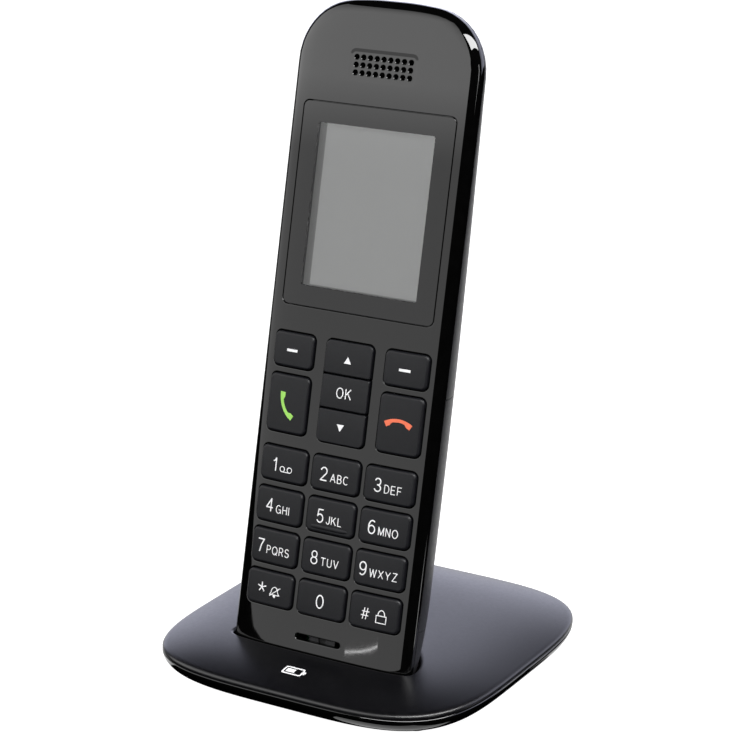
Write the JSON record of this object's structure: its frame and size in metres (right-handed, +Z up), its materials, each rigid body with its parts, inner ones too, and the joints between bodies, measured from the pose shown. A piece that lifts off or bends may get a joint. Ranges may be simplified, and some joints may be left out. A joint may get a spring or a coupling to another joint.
{
  "type": "cordless phone with base",
  "caption": "Slim cordless telephone handset with keypad and display, standing upright in a low charging base.",
  "frame": {"origin": "centre of the base on the surface it stands on", "axes": "+X to the right seen from the front, +Y to the rear, +Z up"},
  "size_m": [0.0848, 0.0848, 0.1583],
  "materials": {
    "gloss_black": "gloss",
    "satin_black": "satin",
    "satin_cover": "satin",
    "key_black": "satin",
    "lens_window": "gloss",
    "lcd_grey": "matte",
    "white_plastic": "matte",
    "speaker_metal": "satin",
    "bright_metal": "satin",
    "mesh_black": "matte",
    "soft_rubber": "matte",
    "board_green": "satin",
    "chip_black": "matte",
    "contact_gold": "polished",
    "mat_grey": "matte",
    "cell_wrap": "gloss",
    "screw_steel": "plain",
    "ballast_steel": "plain",
    "lead_red": "satin"
  },
  "bodies": {
    "base": {"base_cover": "satin_cover", "base_body": "gloss_black", "base_feet": "soft_rubber", "base_screws": "screw_steel", "ballast_plate": "ballast_steel", "charge_board": "board_green", "dc_inlet": "chip_black", "inlet_lead": "lead_red"},
    "handset": {"front_shell": "gloss_black", "rear_shell": "satin_black", "display_lens": "lens_window", "lcd_panel": "lcd_grey", "lcd_backlight": "white_plastic", "receiver": "speaker_metal", "receiver_mesh": "mesh_black", "loudspeaker": "speaker_metal", "microphone": "bright_metal", "microphone_boot": "soft_rubber", "main_board": "board_green", "chips": "chip_black", "rf_shield": "bright_metal", "antenna": "contact_gold", "keypad_mat": "mat_grey", "dome_sheet": "bright_metal", "battery_left": "cell_wrap", "battery_right": "cell_wrap", "battery_springs": "bright_metal", "battery_plates": "bright_metal", "charge_pads": "contact_gold", "shell_screws": "screw_steel", "board_screws": "screw_steel"},
    "door": {"battery_door": "satin_black"},
    "key_1_cap": {"key_1": "key_black"},
    "key_2_cap": {"key_2": "key_black"},
    "key_3_cap": {"key_3": "key_black"},
    "key_4_cap": {"key_4": "key_black"},
    "key_5_cap": {"key_5": "key_black"},
    "key_6_cap": {"key_6": "key_black"},
    "key_7_cap": {"key_7": "key_black"},
    "key_8_cap": {"key_8": "key_black"},
    "key_9_cap": {"key_9": "key_black"},
    "key_star_cap": {"key_star": "key_black"},
    "key_0_cap": {"key_0": "key_black"},
    "key_hash_cap": {"key_hash": "key_black"},
    "soft_key_left_cap": {"soft_key_left": "key_black"},
    "soft_key_right_cap": {"soft_key_right": "key_black"},
    "call_key_cap": {"call_key": "key_black"},
    "end_key_cap": {"end_key": "key_black"},
    "nav_up_key_cap": {"nav_up_key": "key_black"},
    "ok_key_cap": {"ok_key": "key_black"},
    "nav_down_key_cap": {"nav_down_key": "key_black"},
    "leaf_left": {"charge_leaf_left": "contact_gold"},
    "leaf_right": {"charge_leaf_right": "contact_gold"}
  },
  "joints": [
    {"name": "handset_lift", "type": "slide", "parent": "base", "child": "handset", "axis": [0, 0.2238, 0.9746], "range_m": [0, 0.06]},
    {"name": "battery_door_off", "type": "slide", "parent": "handset", "child": "door", "axis": [0, 0.9746, -0.2238], "range_m": [0, 0.014]},
    {"name": "key_1_press", "type": "slide", "parent": "handset", "child": "key_1_cap", "axis": [0, 0.9746, -0.2238], "range_m": [0, 0.0006], "stiffness_N_per_m": 600, "springref_m": -0.0001},
    {"name": "key_2_press", "type": "slide", "parent": "handset", "child": "key_2_cap", "axis": [0, 0.9746, -0.2238], "range_m": [0, 0.0006], "stiffness_N_per_m": 600, "springref_m": -0.0001},
    {"name": "key_3_press", "type": "slide", "parent": "handset", "child": "key_3_cap", "axis": [0, 0.9746, -0.2238], "range_m": [0, 0.0006], "stiffness_N_per_m": 600, "springref_m": -0.0001},
    {"name": "key_4_press", "type": "slide", "parent": "handset", "child": "key_4_cap", "axis": [0, 0.9746, -0.2238], "range_m": [0, 0.0006], "stiffness_N_per_m": 600, "springref_m": -0.0001},
    {"name": "key_5_press", "type": "slide", "parent": "handset", "child": "key_5_cap", "axis": [0, 0.9746, -0.2238], "range_m": [0, 0.0006], "stiffness_N_per_m": 600, "springref_m": -0.0001},
    {"name": "key_6_press", "type": "slide", "parent": "handset", "child": "key_6_cap", "axis": [0, 0.9746, -0.2238], "range_m": [0, 0.0006], "stiffness_N_per_m": 600, "springref_m": -0.0001},
    {"name": "key_7_press", "type": "slide", "parent": "handset", "child": "key_7_cap", "axis": [0, 0.9746, -0.2238], "range_m": [0, 0.0006], "stiffness_N_per_m": 600, "springref_m": -0.0001},
    {"name": "key_8_press", "type": "slide", "parent": "handset", "child": "key_8_cap", "axis": [0, 0.9746, -0.2238], "range_m": [0, 0.0006], "stiffness_N_per_m": 600, "springref_m": -0.0001},
    {"name": "key_9_press", "type": "slide", "parent": "handset", "child": "key_9_cap", "axis": [0, 0.9746, -0.2238], "range_m": [0, 0.0006], "stiffness_N_per_m": 600, "springref_m": -0.0001},
    {"name": "key_star_press", "type": "slide", "parent": "handset", "child": "key_star_cap", "axis": [0, 0.9746, -0.2238], "range_m": [0, 0.0006], "stiffness_N_per_m": 600, "springref_m": -0.0001},
    {"name": "key_0_press", "type": "slide", "parent": "handset", "child": "key_0_cap", "axis": [0, 0.9746, -0.2238], "range_m": [0, 0.0006], "stiffness_N_per_m": 600, "springref_m": -0.0001},
    {"name": "key_hash_press", "type": "slide", "parent": "handset", "child": "key_hash_cap", "axis": [0, 0.9746, -0.2238], "range_m": [0, 0.0006], "stiffness_N_per_m": 600, "springref_m": -0.0001},
    {"name": "soft_key_left_press", "type": "slide", "parent": "handset", "child": "soft_key_left_cap", "axis": [0, 0.9746, -0.2238], "range_m": [0, 0.0006], "stiffness_N_per_m": 600, "springref_m": -0.0001},
    {"name": "soft_key_right_press", "type": "slide", "parent": "handset", "child": "soft_key_right_cap", "axis": [0, 0.9746, -0.2238], "range_m": [0, 0.0006], "stiffness_N_per_m": 600, "springref_m": -0.0001},
    {"name": "call_key_press", "type": "slide", "parent": "handset", "child": "call_key_cap", "axis": [0, 0.9746, -0.2238], "range_m": [0, 0.0006], "stiffness_N_per_m": 600, "springref_m": -0.0001},
    {"name": "end_key_press", "type": "slide", "parent": "handset", "child": "end_key_cap", "axis": [0, 0.9746, -0.2238], "range_m": [0, 0.0006], "stiffness_N_per_m": 600, "springref_m": -0.0001},
    {"name": "nav_up_key_press", "type": "slide", "parent": "handset", "child": "nav_up_key_cap", "axis": [0, 0.9746, -0.2238], "range_m": [0, 0.0006], "stiffness_N_per_m": 600, "springref_m": -0.0001},
    {"name": "ok_key_press", "type": "slide", "parent": "handset", "child": "ok_key_cap", "axis": [0, 0.9746, -0.2238], "range_m": [0, 0.0006], "stiffness_N_per_m": 600, "springref_m": -0.0001},
    {"name": "nav_down_key_press", "type": "slide", "parent": "handset", "child": "nav_down_key_cap", "axis": [0, 0.9746, -0.2238], "range_m": [0, 0.0006], "stiffness_N_per_m": 600, "springref_m": -0.0001},
    {"name": "leaf_left_flex", "type": "hinge", "parent": "base", "child": "leaf_left", "pos_m": [0, -0.0295, 0.00475], "axis": [-1, 0, 0], "range_deg": [0, 3], "stiffness_Nm_per_rad": 0.06},
    {"name": "leaf_right_flex", "type": "hinge", "parent": "base", "child": "leaf_right", "pos_m": [0, -0.0295, 0.00475], "axis": [-1, 0, 0], "range_deg": [0, 3], "stiffness_Nm_per_rad": 0.06}
  ]
}
